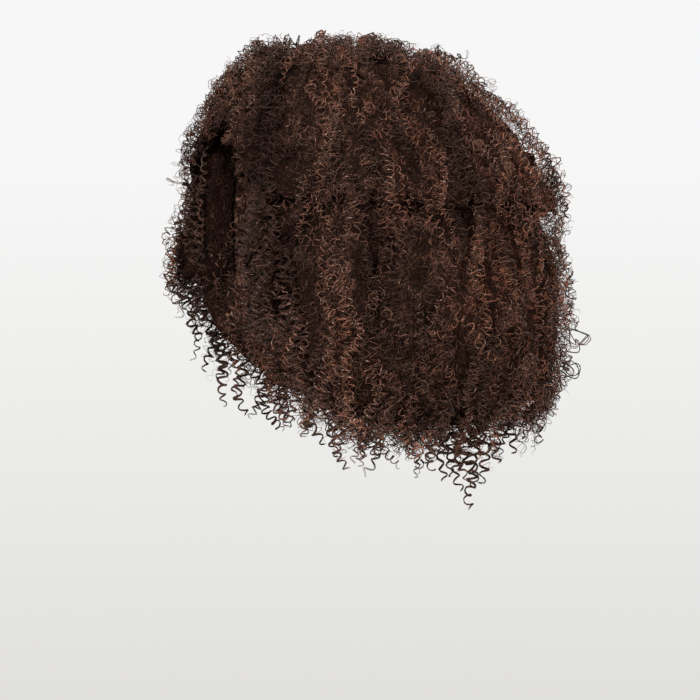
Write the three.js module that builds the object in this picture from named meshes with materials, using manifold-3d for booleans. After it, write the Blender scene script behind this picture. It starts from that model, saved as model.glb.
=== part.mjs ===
// An afro wig in its worn form: a stretch cap, and eleven sections of curled hair sewn to it in two tiers.
// The upper tier falls from a centre part, and its tips lie over the lower tier, which hangs past the cap's rim.
// Millimetres, +Z up. The origin is the crown seat, the point inside the cap that rests on the top of the head.
// The face opening looks along -Y, and +X is the wearer's left. A bearing is 0 at the face and 90 at the left ear.
import * as THREE from "three";
import Module from "manifold-3d";
import { mergeVertices } from "three/addons/utils/BufferGeometryUtils.js";

const wasm = await Module();
wasm.setup();

const { degToRad, radToDeg, lerp, clamp, smoothstep } = THREE.MathUtils;

// Cap: the head it fits, and its cloth
const capLength = 196; // inside, from the forehead to the back of the head
const capWidth = 158; // inside, from ear to ear
const capDepth = 113; // from the crown seat down to the widest level of the head
const capWall = 1.6;
const neckShare = 0.84; // the head form's width at the hem of the hair, as a share of its widest
const rootShare = 0.16; // how far the hair is rooted below the part, as a share of capDepth

// Hair: how far the mass stands from the head's axis, and how far it hangs below the crown seat
const crownLift = 24;
const frontReach = 126;
const sideReach = 166;
const backReach = 204;
const hairDrop = 302;
const ringletDrop = 354; // the longest free ringlet
const partFront = -52; // the part runs from here, along Y
const partBack = 34;
const partBend = 70; // hair leaves the part and turns to its bearing within this radius
const tierTuck = 36; // how far the lower tier reaches up under the upper one
const hairlineStep = 6; // the same step over the forehead, where the upper tier has nothing under it
const tierLap = 22; // how far the upper tier's tips hang over the lower one
const sectionGap = 0.6; // clear space between two sections, and between the hair and the cap

// Locks: the curled strands that stand proud of each section's backing
const lockWidth = 34; // at sideReach from the axis, and less nearer to it
const lockRise = 11; // how far a lock stands proud of the backing
const curlSway = 5; // how far a lock winds from side to side
const curlPitch = 48; // the length of one winding
const ringletWidth = 15; // the loose ringlets that hang below the hem
const underDepth = 0.55; // how far the tips under the hem stand in from the outer form, as a share of the way in
const lockSides = 4;

// Share of the whole height, from the top down, and there the share of the reach to the front, side and back
const silhouette = [
  { height: 0.0, front: 0.02, side: 0.02, back: 0.02 },
  { height: 0.008, front: 0.29, side: 0.32, back: 0.29 },
  { height: 0.043, front: 0.47, side: 0.52, back: 0.48 },
  { height: 0.117, front: 0.63, side: 0.66, back: 0.62 },
  { height: 0.19, front: 0.75, side: 0.76, back: 0.76 },
  { height: 0.3, front: 0.88, side: 0.88, back: 0.905 },
  { height: 0.4, front: 0.93, side: 0.94, back: 0.97 },
  { height: 0.54, front: 1.0, side: 0.985, back: 1.0 },
  { height: 0.7, front: 1.0, side: 1.0, back: 1.0 },
  { height: 0.82, front: 0.96, side: 0.98, back: 0.98 },
  { height: 0.93, front: 0.87, side: 0.9, back: 0.92 },
  { height: 1.0, front: 0.74, side: 0.79, back: 0.79 },
];

// Bearing, and there the depth of the cap's rim as a share of capDepth, and of the hair's edges as shares of
// hairDrop. The front of the hem hangs lower on the wearer's left.
const edges = [
  { bearing: 0, rim: 0.3, tier: 0.1, hemLeft: 0.66, hemRight: 0.58 },
  { bearing: 20, rim: 0.36, tier: 0.16, hemLeft: 0.66, hemRight: 0.58 },
  { bearing: 38, rim: 0.5, tier: 0.26, hemLeft: 0.66, hemRight: 0.58 },
  { bearing: 58, rim: 0.76, tier: 0.335, hemLeft: 0.7, hemRight: 0.6 },
  { bearing: 68, rim: 0.93, tier: 0.35, hemLeft: 0.88, hemRight: 0.72 },
  { bearing: 78, rim: 1.05, tier: 0.36, hemLeft: 0.94, hemRight: 0.79 },
  { bearing: 92, rim: 1.1, tier: 0.36, hemLeft: 0.955, hemRight: 0.89 },
  { bearing: 120, rim: 1.2, tier: 0.36, hemLeft: 0.965, hemRight: 0.96 },
  { bearing: 150, rim: 1.4, tier: 0.36, hemLeft: 0.965, hemRight: 0.965 },
  { bearing: 180, rim: 1.48, tier: 0.36, hemLeft: 0.955, hemRight: 0.955 },
];

// The sections: the bearings between which each is sewn on, those of the space that its locks may fill, and the
// bearing of an edge that frames the face
const crownTurn = 107;
const crowns = [
  { name: "crown_left_hair", from: 0, to: crownTurn, spaceFrom: 0, spaceTo: crownTurn },
  { name: "crown_right_hair", from: 360 - crownTurn, to: 360, spaceFrom: 360 - crownTurn, spaceTo: 360 },
  { name: "crown_back_hair", from: crownTurn, to: 360 - crownTurn, spaceFrom: crownTurn, spaceTo: 360 - crownTurn },
];
const falls = [
  { name: "left_front_lock", from: 39, to: 54, spaceFrom: 30, spaceTo: 56, faceEdge: 39 },
  { name: "left_side_hair", from: 58, to: 90, spaceFrom: 56, spaceTo: 90 },
  { name: "left_rear_hair", from: 90, to: 135, spaceFrom: 90, spaceTo: 135 },
  { name: "left_nape_hair", from: 135, to: 180, spaceFrom: 135, spaceTo: 180 },
];

// The loose ringlets: the share of the way from the hem down to the longest one, and of the way in to the head
const ringlets = [
  { bearing: 46, drop: 0.3, depth: 0.35 },
  { bearing: 76, drop: 0.55, depth: 0.3 },
  { bearing: 103, drop: 0.7, depth: 0.2 },
  { bearing: 124, drop: 1.0, depth: 0.25 },
  { bearing: 148, drop: 0.7, depth: 0.3 },
  { bearing: 168, drop: 0.5, depth: 0.2 },
];

const looks = {
  cap: { color: 0x1d1512, roughness: 0.9 },
  hair: { color: 0x3a2621, roughness: 0.55 },
};

const steps = (count) => Array.from({ length: count + 1 }, (_, k) => k / count);
const capColumns = 26;
const capBearings = steps(capColumns).slice(0, capColumns).map((t) => t * 360);
const capDrops = [0.015, 0.07, 0.18, 0.34, 0.54, 0.77, 1];
const lockSpacing = radToDeg(lockWidth / sideReach);
const tipWidth = 0.75 * lockWidth;
const crownRows = Math.round(sideReach / (curlPitch / 2));
const fallRows = Math.round((1.05 * (hairDrop - capDepth)) / (curlPitch / 2));

// The value of a table's column at x, on the straight line between its rows
function read(table, key, column, x) {
  const next = table.findIndex((row) => row[key] >= x);
  if (next < 0) return table[table.length - 1][column];
  if (next === 0) return table[0][column];
  const [a, b] = [table[next - 1], table[next]];
  return lerp(a[column], b[column], (x - a[key]) / (b[key] - a[key]));
}

// A bearing counted from the face on either side
const fromFace = (bearing) => (bearing > 180 ? 360 - bearing : bearing);

// The depths below the crown seat of the cap's rim, of the upper tier's edge and of the hem
const rimDepth = (bearing) => capDepth * read(edges, "bearing", "rim", fromFace(bearing));
const tierDepth = (bearing) => hairDrop * read(edges, "bearing", "tier", fromFace(bearing));
const hemDepth = (bearing) =>
  hairDrop * read(edges, "bearing", bearing > 180 ? "hemRight" : "hemLeft", fromFace(bearing));

function ellipseRadius(bearing, side, ahead) {
  const angle = degToRad(bearing);
  return 1 / Math.hypot(Math.sin(angle) / side, Math.cos(angle) / ahead);
}

// The head form: a dome down to its widest level, and below it a slow taper to the neck
function headRadius(bearing, z, offset) {
  const widest = ellipseRadius(bearing, capWidth / 2 + offset, capLength / 2 + offset);
  if (z > -capDepth) {
    const rise = (z + capDepth) / (capDepth + offset);
    return widest * Math.sqrt(Math.max(0, 1 - rise * rise));
  }
  return widest * lerp(1, neckShare, smoothstep(-z, capDepth, hairDrop));
}

// The hair's outer form, moved in by inset
function hairRadius(bearing, z, inset = 0) {
  const top = crownLift - inset;
  const share = clamp((top - z) / (top + hairDrop), 0, 1);
  const ahead = Math.cos(degToRad(bearing)) >= 0 ? ["front", frontReach] : ["back", backReach];
  return ellipseRadius(
    bearing,
    read(silhouette, "height", "side", share) * (sideReach - inset),
    read(silhouette, "height", ahead[0], share) * (ahead[1] - inset),
  );
}

// A point at a bearing and radius. The part bends the hair near the crown, and shift moves it sideways.
function place(bearing, radius, z, shift = 0, parted = false) {
  const angle = degToRad(bearing);
  const [sin, cos] = [Math.sin(angle), Math.cos(angle)];
  const point = new THREE.Vector3(radius * sin + shift * cos, -radius * cos + shift * sin, z);
  if (parted) point.y += partStart(bearing) * Math.max(0, 1 - radius / partBend);
  return point;
}

// Where on the part a bearing's hair starts
function partStart(bearing) {
  return lerp(partFront, partBack, smoothstep(fromFace(bearing), 0, crownTurn));
}

// A closed surface through rings of equal length, with its two ends filled in
function loft(rings) {
  const count = rings[0].length;
  const faces = [];
  for (let ring = 0; ring < rings.length - 1; ring++) {
    for (let k = 0; k < count; k++) {
      const a = ring * count + k;
      const b = ring * count + ((k + 1) % count);
      faces.push(a, b, a + count, b, b + count, a + count);
    }
  }
  const last = (rings.length - 1) * count;
  fillEnd(rings[0]).forEach(([a, b, c]) => faces.push(a, c, b));
  fillEnd(rings[rings.length - 1]).forEach(([a, b, c]) => faces.push(last + a, last + b, last + c));
  return solid(rings.flat(), faces);
}

// The triangles that fill a ring, found in the plane that it lies in
function fillEnd(ring) {
  const normal = new THREE.Vector3();
  ring.forEach((point, k) => normal.add(point.clone().cross(ring[(k + 1) % ring.length])));
  const u = ring[1].clone().sub(ring[0]).normalize();
  const v = normal.normalize().clone().cross(u);
  const outline = ring.map((point) => new THREE.Vector2(point.dot(u), point.dot(v)));
  return THREE.ShapeUtils.triangulateShape(outline, []);
}

function solid(points, faces) {
  let volume = 0;
  for (let k = 0; k < faces.length; k += 3) {
    const [a, b, c] = [points[faces[k]], points[faces[k + 1]], points[faces[k + 2]]];
    volume += a.dot(b.clone().cross(c));
  }
  const facing = volume < 0 ? [...faces].reverse() : faces;
  const vertProperties = new Float32Array(points.flatMap((point) => point.toArray()));
  return new wasm.Manifold(
    new wasm.Mesh({ numProp: 3, vertProperties, triVerts: new Uint32Array(facing) }),
  );
}

function solidFromGeometry(geometry) {
  geometry.deleteAttribute("normal");
  geometry.deleteAttribute("uv");
  const merged = mergeVertices(geometry);
  return new wasm.Manifold(
    new wasm.Mesh({
      numProp: 3,
      vertProperties: merged.attributes.position.array,
      triVerts: new Uint32Array(merged.index.array),
    }),
  );
}

function mesh(name, made, look) {
  const { vertProperties, triVerts } = made.getMesh();
  const geometry = new THREE.BufferGeometry()
    .setAttribute("position", new THREE.BufferAttribute(new Float32Array(vertProperties), 3))
    .setIndex(new THREE.BufferAttribute(new Uint32Array(triVerts), 1));
  geometry.computeVertexNormals();
  const built = new THREE.Mesh(geometry, new THREE.MeshStandardMaterial({ ...look, metalness: 0 }));
  built.name = name;
  return built;
}

// A section's solid: its pieces joined, kept within its space and clear of the cap, with the pockets that locks
// close between them filled
function trimmed({ spaceFrom, spaceTo }, parted, pieces) {
  const joined = wasm.Manifold.union(pieces)
    .intersect(sector(spaceFrom, spaceTo, parted))
    .subtract(headForm());
  return wasm.Manifold.union(joined.decompose().filter((shell) => shell.volume() > 0));
}

// A ring of the head form between the crown, at 0, and the cap's rim, at 1
function capRing(drop, offset) {
  return capBearings.map((bearing) => {
    const z = lerp(offset, -rimDepth(bearing), drop);
    return place(bearing, headRadius(bearing, z, offset), z);
  });
}

// The cap: rings down its outside, round the rim and back up its inside
function wigCap() {
  const outside = capDrops.map((drop) => capRing(drop, capWall));
  const inside = capDrops.map((drop) => capRing(drop, 0));
  return loft([...outside, ...inside.reverse()]);
}

// What the hair stays clear of: the cap's outside, and below its rim the wearer's face and neck
function headForm() {
  const offset = capWall + sectionGap;
  const below = [0.15, 0.35, 0.6, 0.85, 1.2].map((t) =>
    capBearings.map((bearing) => {
      const z = lerp(-rimDepth(bearing), -ringletDrop, t);
      return place(bearing, headRadius(bearing, z, offset), z);
    }),
  );
  return loft([...capDrops.map((drop) => capRing(drop, offset)), ...below]);
}

// The space that one section may fill, as an upright prism between two bearings
function sector(from, to, parted) {
  const far = 2 * (backReach + sideReach);
  const middle = (from + to) / 2;
  const edge = (bearing, side) =>
    [parted ? 0 : partBend / 2, partBend, far].map((radius) =>
      place(bearing, radius, 0, (side * sectionGap) / 2, parted),
    );
  const corners = [...edge(from, 1), place(middle, far, 0), ...edge(to, -1).reverse()];
  const outline = new THREE.Shape(corners.map((point) => new THREE.Vector2(point.x, point.y)));
  const depth = ringletDrop + 2 * crownLift + hairDrop;
  const prism = new THREE.ExtrudeGeometry(outline, { depth, bevelEnabled: false });
  return solidFromGeometry(prism.translate(0, 0, 2 * crownLift - depth));
}

// A lock: a tapered tube that hangs from start to tip and winds from side to side, depth being its share of the
// way in from the outer form to the head, and flat its thickness as a share of its width
function lock({ bearing, start, tip, inset, depth, width, flat, phase, parted }) {
  const count = Math.max(2, Math.round((start - tip) / (curlPitch / 2)));
  const hem = -hemDepth(bearing);
  const rings = steps(count).map((t, k) => {
    const z = lerp(start, tip, t);
    const turn = Math.PI * k + phase;
    const taper = Math.min(1, 0.55 + 1.5 * t) * Math.min(1, 0.2 + 1.9 * (1 - t));
    const half = (width / 2) * taper * (1 + 0.12 * Math.cos(turn));
    const swayed = curlSway * taper * Math.sin(turn + Math.PI / 4);
    return steps(lockSides)
      .slice(0, lockSides)
      .map((side) => {
        const angle = 2 * Math.PI * side + k * 0.5;
        const aside = swayed + half * Math.cos(angle);
        const at = bearing + radToDeg(aside / hairRadius(bearing, hem));
        const outer = hairRadius(at, Math.max(z, hem), inset);
        const radius = lerp(outer, headRadius(at, z, lockWidth / 2), depth);
        return place(at, radius + flat * half * Math.sin(angle), z, 0, parted);
      });
  });
  return loft(rings);
}

// Where a section's locks stand: the bearing of each one's middle
function lockMiddles({ from, to }) {
  const count = Math.ceil((to - from) / lockSpacing);
  return steps(count).slice(1).map((t) => lerp(from, to, t - 0.5 / count));
}

// The columns of a section's outer face: a groove on each side of a lock, and two shoulders that stand proud.
// The section's own edges don't sway.
function lockColumns({ from, to }) {
  const count = Math.ceil((to - from) / lockSpacing);
  const columns = steps(count).flatMap((t, k) => [
    { bearing: lerp(from, to, t), proud: 0, sway: k % count ? 1 : 0, turn: k },
    { bearing: lerp(from, to, t + 0.26 / count), proud: 1, sway: 1, turn: k },
    { bearing: lerp(from, to, t + 0.74 / count), proud: 1, sway: 1, turn: k },
  ]);
  return columns.slice(0, -2);
}

// How far in from the outer form a column lies at a row, and how far it has swayed, rise being the locks' share there
function curlAt({ bearing, proud, sway, turn }, row, rise) {
  const wound = Math.PI * row + turn;
  return {
    inset: lockRise * (1 - proud * rise * (0.86 + 0.14 * Math.cos(wound))),
    bearing: bearing + sway * rise * radToDeg(curlSway / sideReach) * Math.sin(wound + Math.PI / 4),
  };
}

// Where the upper tier's inside steps out to make room for the lower tier: its top, and its radius at a height
function tierJoint(bearing) {
  const overlap = smoothstep(fromFace(bearing), 0.5 * falls[0].from, falls[0].from);
  const top = lerp(hairlineStep, tierTuck, overlap) - tierDepth(bearing);
  const radius = (z) =>
    lerp(headRadius(bearing, z, capWall), hairRadius(bearing, z, lockRise), lerp(0.12, 0.5, overlap));
  return { top, radius };
}

// The upper tier at one column, as an outline from the part over the top, down and back up inside
function crownOutline(column) {
  const { bearing } = column;
  const end = -tierDepth(bearing);
  const joint = tierJoint(bearing);
  const outer = steps(crownRows).map((t, row) => {
    const curl = curlAt(column, row, lerp(0.75, 1, t));
    const z = lerp(crownLift - curl.inset, -tierDepth(curl.bearing), t * t);
    return place(curl.bearing, hairRadius(curl.bearing, z, curl.inset), z, 0, true);
  });
  const brow = place(bearing, 0.9 * headRadius(bearing, joint.top, 0), joint.top);
  const root = place(bearing, silhouette[0].side * sideReach, -rootShare * capDepth, 0, true);
  const step = [end, joint.top].map((z) => place(bearing, joint.radius(z), z, 0, true));
  return [...outer, ...step, brow, root];
}

function crown(section) {
  const tips = lockMiddles(section).map((bearing, k) => {
    const end = -tierDepth(bearing);
    return lock({
      bearing,
      start: end + lockRise / 2,
      tip: end - tierLap * (0.75 + 0.25 * Math.cos(2.1 * k)),
      inset: lockRise / 2,
      depth: 0,
      width: tipWidth,
      flat: (lockRise - 2 * sectionGap) / lockWidth,
      phase: k,
      parted: true,
    });
  });
  return trimmed(section, true, [loft(lockColumns(section).map(crownOutline)), ...tips]);
}

// The lower tier at one column: tucked under the upper tier, then as thick as the hair
function fallOutline(column) {
  const { bearing } = column;
  const joint = tierJoint(bearing);
  const tuck = joint.top - sectionGap;
  const tier = -tierDepth(bearing) - sectionGap;
  const hem = -hemDepth(bearing);
  const outer = steps(fallRows).map((t, row) => {
    const z = lerp(tier, hem, t);
    const curl = curlAt(column, row, smoothstep(tier - z, tierLap, tierLap + lockWidth));
    return place(curl.bearing, hairRadius(curl.bearing, z, curl.inset), z);
  });
  const inner = [hem, tuck].map((z) => place(bearing, 0.9 * headRadius(bearing, z, 0), z));
  const step = [tuck, tier].map((z) => place(bearing, joint.radius(z) - 2 * sectionGap, z));
  return [...step, ...outer, ...inner];
}

// A round lock of the lower tier
function hangingLock(bearing, start, tip, depth, width) {
  return lock({ bearing, start, tip, inset: 0.7 * lockRise, depth, width, flat: 1, phase: bearing, parted: false });
}

function fall(section) {
  const side = middle(section) > 180 ? (bearing) => 360 - bearing : (bearing) => bearing;
  const tips = lockMiddles(section).flatMap((bearing, k) => {
    const hem = -hemDepth(bearing);
    return (k % 2 ? [0] : [0, underDepth]).map((depth) => {
      const tip = hem - lockWidth * (0.75 + 0.35 * Math.sin(1.7 * k + bearing + 5 * depth));
      return hangingLock(bearing, hem + lockRise / 2, tip, depth, tipWidth);
    });
  });
  const loose = ringlets
    .filter(({ bearing }) => side(bearing) > section.from && side(bearing) < section.to)
    .map(({ bearing, drop, depth }) => {
      const hem = -hemDepth(side(bearing));
      return hangingLock(side(bearing), hem + lockRise, lerp(hem, -ringletDrop, drop), depth, ringletWidth);
    });
  const edge = (section.faceEdge ? [0.3, 0.75] : []).map((depth) => {
    const start = -tierDepth(section.faceEdge) - tierLap;
    const tip = -hemDepth(section.faceEdge) - lockWidth * depth;
    return hangingLock(section.faceEdge, start, tip, depth, tipWidth);
  });
  return trimmed(section, false, [loft(lockColumns(section).map(fallOutline)), ...tips, ...loose, ...edge]);
}

const middle = ({ from, to }) => (from + to) / 2;

const mirrored = ({ name, from, to, spaceFrom, spaceTo, faceEdge }) => ({
  name: name.replace("left", "right"),
  from: 360 - to,
  to: 360 - from,
  spaceFrom: 360 - spaceTo,
  spaceTo: 360 - spaceFrom,
  faceEdge: faceEdge && 360 - faceEdge,
});

const wig = new THREE.Group();
wig.add(mesh("wig_cap", wigCap(), looks.cap));
for (const section of crowns) {
  wig.add(mesh(section.name, crown(section), looks.hair));
}
for (const section of [...falls, ...falls.map(mirrored)]) {
  wig.add(mesh(section.name, fall(section), looks.hair));
}

export default wig;
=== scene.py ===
import bmesh
import bpy
import numpy as np
from mathutils import Matrix, Vector, kdtree, noise


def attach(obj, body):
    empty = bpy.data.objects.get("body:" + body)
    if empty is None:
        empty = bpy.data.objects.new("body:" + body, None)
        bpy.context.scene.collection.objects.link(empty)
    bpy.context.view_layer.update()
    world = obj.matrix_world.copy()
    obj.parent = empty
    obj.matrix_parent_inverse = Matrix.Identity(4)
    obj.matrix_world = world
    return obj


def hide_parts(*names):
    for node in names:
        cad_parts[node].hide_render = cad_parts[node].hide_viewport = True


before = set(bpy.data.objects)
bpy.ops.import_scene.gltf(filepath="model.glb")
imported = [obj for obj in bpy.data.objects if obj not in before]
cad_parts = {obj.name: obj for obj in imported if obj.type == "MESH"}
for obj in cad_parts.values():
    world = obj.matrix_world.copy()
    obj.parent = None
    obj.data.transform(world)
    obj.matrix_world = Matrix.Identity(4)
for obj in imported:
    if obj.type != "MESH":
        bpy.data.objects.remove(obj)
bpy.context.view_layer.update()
bpy.ops.object.select_all(action="DESELECT")
print("frame loaded:", len(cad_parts), "nodes")

# The wig's own sizes, in metres and degrees, as the frame has them
# A bearing is 0 at the face, 90 at the left ear and 180 behind
wig = {
    "capLength": 0.196,
    "capWidth": 0.158,
    "capDepth": 0.113,
    "neckShare": 0.84,
    "crownLift": 0.024,
    "frontReach": 0.126,
    "sideReach": 0.166,
    "backReach": 0.204,
    "hairDrop": 0.302,
    "partFront": -0.052,
    "partBack": 0.034,
    "partBend": 0.070,
    "crownTurn": 107,
}

# Share of the whole height from the top down, and there the share of the reach to the front, side and back
silhouette = np.array([
    [0.0, 0.02, 0.02, 0.02],
    [0.008, 0.29, 0.32, 0.29],
    [0.043, 0.47, 0.52, 0.48],
    [0.117, 0.63, 0.66, 0.62],
    [0.19, 0.75, 0.76, 0.76],
    [0.3, 0.88, 0.88, 0.905],
    [0.4, 0.93, 0.94, 0.97],
    [0.54, 1.0, 0.985, 1.0],
    [0.7, 1.0, 1.0, 1.0],
    [0.82, 0.96, 0.98, 0.98],
    [0.93, 0.87, 0.9, 0.92],
    [1.0, 0.74, 0.79, 0.79],
])

# Bearing, and there the upper tier's edge and the hem on the left and on the right, as shares of hairDrop
edges = np.array([
    [0, 0.1, 0.66, 0.58],
    [20, 0.16, 0.66, 0.58],
    [38, 0.26, 0.66, 0.58],
    [58, 0.335, 0.7, 0.6],
    [68, 0.35, 0.88, 0.72],
    [78, 0.36, 0.94, 0.79],
    [92, 0.36, 0.955, 0.89],
    [120, 0.36, 0.965, 0.96],
    [150, 0.36, 0.965, 0.965],
    [180, 0.36, 0.955, 0.955],
])


def smooth(x, low, high):
    t = np.clip((x - low) / (high - low), 0, 1)
    return t * t * (3 - 2 * t)


def fromFace(bearing):
    turned = np.mod(bearing, 360)
    return np.where(turned > 180, 360 - turned, turned)


def tierDepth(bearing):
    return wig["hairDrop"] * np.interp(fromFace(bearing), edges[:, 0], edges[:, 1])


def hemDepth(bearing):
    away = fromFace(bearing)
    left = np.interp(away, edges[:, 0], edges[:, 2])
    right = np.interp(away, edges[:, 0], edges[:, 3])
    return wig["hairDrop"] * np.where(np.mod(bearing, 360) > 180, right, left)


def ellipseRadius(bearing, side, ahead):
    angle = np.radians(bearing)
    return 1 / np.hypot(np.sin(angle) / side, np.cos(angle) / ahead)


def headRadius(bearing, z, offset=0.0):
    widest = ellipseRadius(bearing, wig["capWidth"] / 2 + offset, wig["capLength"] / 2 + offset)
    rise = np.clip((z + wig["capDepth"]) / (wig["capDepth"] + offset), 0, 1)
    taper = 1 + (wig["neckShare"] - 1) * smooth(-z, wig["capDepth"], wig["hairDrop"])
    return widest * np.where(z > -wig["capDepth"], np.sqrt(1 - rise * rise), taper)


def hairRadius(bearing, z):
    share = np.clip((wig["crownLift"] - z) / (wig["crownLift"] + wig["hairDrop"]), 0, 1)
    front, side, back = (np.interp(share, silhouette[:, 0], silhouette[:, k]) for k in (1, 2, 3))
    facing = np.cos(np.radians(bearing)) >= 0
    ahead = np.where(facing, front * wig["frontReach"], back * wig["backReach"])
    return ellipseRadius(bearing, side * wig["sideReach"], ahead)


def place(bearing, radius, z, parted=False):
    angle = np.radians(bearing)
    y = -radius * np.cos(angle)
    if parted:
        back = smooth(fromFace(bearing), 0, wig["crownTurn"])
        start = wig["partFront"] + (wig["partBack"] - wig["partFront"]) * back
        y = y + start * np.maximum(0, 1 - radius / wig["partBend"])
    return np.stack([radius * np.sin(angle), y, z + 0 * radius], -1)


# Hair form: the outer surface of the hair as a grid of points, one row for each bearing
# A row runs from the part over the crown and down to the hem, and from there straight down
form = {"turn": 1.5, "step": 0.002, "below": 0.09}


def makeForm():
    bearings = np.arange(0, 360, form["turn"])
    rows, tiers, hems = [], [], []
    for bearing in bearings:
        hem = -float(hemDepth(bearing))
        z = wig["crownLift"] + (hem - wig["crownLift"]) * np.linspace(0, 1, 400) ** 2
        line = place(np.full_like(z, bearing), hairRadius(bearing, z), z, parted=True)
        length = np.concatenate([[0], np.cumsum(np.linalg.norm(np.diff(line, axis=0), axis=1))])
        tiers.append(np.interp(float(tierDepth(bearing)), -z, length))
        hems.append(length[-1])
        rows.append((line, length))
    count = int((max(hems) + form["below"]) / form["step"]) + 2
    along = np.arange(count) * form["step"]
    points = np.zeros((len(bearings), count, 3))
    for row, (line, length) in enumerate(rows):
        for axis in range(3):
            points[row, :, axis] = np.interp(along, length, line[:, axis])
        points[row, :, 2] -= np.maximum(0, along - length[-1])
    across = (np.roll(points, -1, 0) - np.roll(points, 1, 0)) / (2 * form["turn"])
    down = np.gradient(points, form["step"], axis=1)
    normals = np.cross(down, across)
    normals /= np.linalg.norm(normals, axis=2, keepdims=True) + 1e-12
    middle = np.array([0, 0.03, -0.13])
    normals[np.einsum("ijk,ijk->ij", normals, points - middle) < 0] *= -1
    form.update(points=points, normals=normals, width=np.linalg.norm(across, axis=2))
    form.update(tiers=np.array(tiers), hems=np.array(hems), count=count)


def onForm(bearing, along, key):
    row = np.mod(bearing, 360) / form["turn"]
    low = np.floor(row).astype(int) % len(form["points"])
    high = (low + 1) % len(form["points"])
    f = row - np.floor(row)
    col = np.clip(along / form["step"], 0, form["count"] - 1.001)
    left = np.floor(col).astype(int)
    g = col - left
    grid = form[key]
    if grid.ndim == 3:
        f, g = f[..., None], g[..., None]
    near = grid[low, left] * (1 - g) + grid[low, left + 1] * g
    far = grid[high, left] * (1 - g) + grid[high, left + 1] * g
    return near * (1 - f) + far * f


def onEdge(bearing, key):
    row = np.arange(len(form["points"]) + 1) * form["turn"]
    return np.interp(np.mod(bearing, 360), row, np.append(form[key], form[key][0]))


makeForm()

# Partings between locks: a bearing, the heights between which the hair falls in there, and how far
partings = [
    (59, -0.030, -0.270, 0.013),
    (88, -0.085, -0.220, 0.014),
    (103, -0.015, -0.120, 0.014),
]
partingWidth = 0.0075
random = np.random.default_rng(7)
for turn in np.arange(118, 402, 14.0):
    top = random.uniform(-0.1, 0.0)
    bearing = (turn + random.uniform(-4, 4)) % 360
    partings.append((bearing, top, top - random.uniform(0.08, 0.2), random.uniform(0.005, 0.013)))

# How far the curls' layer is sunk below the form, so that the finished crown stands no higher than it should
layer = {"top": 0.0080, "upperBack": -0.0010, "hollow": 0.0015, "jaw": 0.009}


def layerSink(bearing, along):
    z = onForm(bearing, along, "points")[..., 2]
    top = layer["top"] * smooth(z, -0.008, 0.016)
    behind = smooth(fromFace(bearing), 80, 130) * smooth(z, -0.13, -0.04) * (1 - smooth(z, -0.025, 0.012))
    hollow = smooth(fromFace(bearing), 105, 145) * smooth(z, -0.195, -0.150) * (1 - smooth(z, -0.125, -0.080))
    jaw = (1 - smooth(fromFace(bearing), 50, 85)) * (1 - smooth(z, -0.215, -0.175))
    return top + layer["upperBack"] * behind + layer["hollow"] * hollow + layer["jaw"] * jaw


# How far the locks wander aside on their way down: two waves, each a reach, a length and a turn per degree
waves = {"slow": (0.0050, 0.0150, 0.31), "quick": (0.0028, 0.0065, 0.9)}


def sway(bearing, along):
    aside = 0.0
    for reach, length, turn in waves.values():
        aside = aside + reach * np.sin(along / length + turn * bearing)
    return aside


def partingDepth(bearing, along):
    width = onForm(bearing, along, "width")
    z = onForm(bearing, along, "points")[..., 2]
    deepest = np.zeros_like(z)
    for middle, top, low, deep in partings:
        turned = np.mod(bearing - middle + 180, 360) - 180
        aside = turned * width - sway(middle, along)
        above = smooth(z, low, low + 0.03)
        reach = above * (1 - smooth(z, top - 0.03, top))
        deepest = np.maximum(deepest, deep * reach * np.exp(-((aside / partingWidth) ** 2)))
    return deepest * (0.1 + 0.9 * smooth(np.abs(z + tierDepth(bearing)), 0.006, 0.034))


# The hem hangs shorter at the rear corner, and the curls and their backing follow it
hemCorner = {"lift": 0.012, "from": 130, "full": 144, "fade": 172, "to": 186}


def cornerLift(bearing):
    start = smooth(bearing, hemCorner["from"], hemCorner["full"])
    return hemCorner["lift"] * start * (1 - smooth(bearing, hemCorner["fade"], hemCorner["to"]))


# Locks: the columns that the curls gather into, each with its own shade
locks = {"spacing": 5.5, "stray": 1.3, "rise": 0.0066, "gather": 0.4, "shade": 0.32}
lockCount = int(round(360 / locks["spacing"]))
lockCentres = np.arange(lockCount) * 360 / lockCount + random.uniform(-1, 1, lockCount) * locks["stray"]
lockShades = np.exp(random.normal(0, locks["shade"], lockCount))

# Streaks: darker and lighter places that run along the hair
# Each has its middle bearing, half its width in degrees, its top, its low end, and what it makes of the shade there
streaks = [
    (45, 9.0, 0.010, -0.080, 0.0),
    (52, 8.0, -0.070, -0.135, 0.0),
    (57, 7.0, -0.125, -0.205, 0.05),
    (69, 4.0, -0.050, -0.170, 1.5),
    (79, 3.0, -0.060, -0.180, 1.35),
    (75, 2.2, -0.050, -0.150, 0.45),
    # painted shade: this dark streak lies in the parting at bearing 88 and darkens the gap between the locks there
    (84, 5.0, -0.140, -0.205, 0.15),
    (97, 3.0, -0.040, -0.120, 0.5),
    (104, 3.0, -0.060, -0.150, 1.35),
    (115, 6.0, 0.010, -0.140, 0.2),
    (116, 9.0, -0.220, -0.300, 0.40),
    (145, 12.0, -0.030, -0.190, 1.5),
    (205, 6.0, -0.010, -0.150, 0.4),
    (236, 6.0, -0.080, -0.230, 0.45),
    (262, 6.0, -0.020, -0.150, 0.4),
    (290, 5.0, -0.060, -0.190, 0.4),
    (330, 12.0, -0.000, -0.170, 0.5),
]


def streakShade(bearing, z):
    shade = np.ones_like(z + 0.0)
    for middle, width, top, low, tint in streaks:
        aside = (np.mod(bearing - middle + 180, 360) - 180) / width
        above = smooth(z, low - 0.015, low + 0.015)
        reach = above * (1 - smooth(z, top - 0.015, top + 0.015))
        shade = shade * (1 + (tint - 1) * reach * np.exp(-(aside ** 2)))
    return shade


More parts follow.
